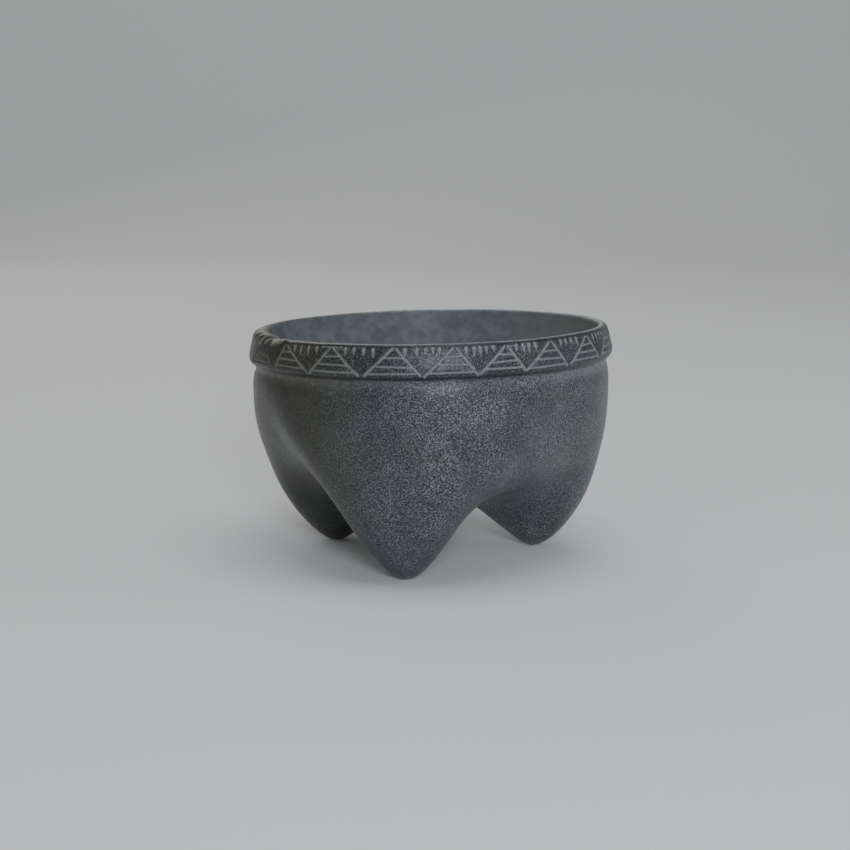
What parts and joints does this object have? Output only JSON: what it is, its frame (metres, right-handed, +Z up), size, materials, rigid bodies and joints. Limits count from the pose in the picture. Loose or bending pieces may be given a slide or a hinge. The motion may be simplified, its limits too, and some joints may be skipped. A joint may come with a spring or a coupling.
{
  "type": "mortar and pestle",
  "caption": "Round stone mortar on short pointed feet, with a banded rim and a ball-shaped hollow that holds a loose tapered hand stone.",
  "frame": {"origin": "on the floor plane, under the middle of the rim band", "axes": "+Z up from the feet to the rim, -Y towards the front foot, +X to the right foot when seen from the front"},
  "size_m": [0.2, 0.1998, 0.1324],
  "materials": {
    "mortar_stone": "smooth dark basalt with fine pale needles",
    "hand_stone": "rubbed dark basalt, paler on its worn face"
  },
  "bodies": {
    "mortar": {"mortar": "mortar_stone"},
    "hand_stone": {"tejolote": "hand_stone"}
  },
  "joints": [
    {"name": "tejolote_lift", "type": "slide", "parent": "mortar", "child": "hand_stone", "axis": [0, 0, 1], "range_m": [0, 0.12]}
  ]
}
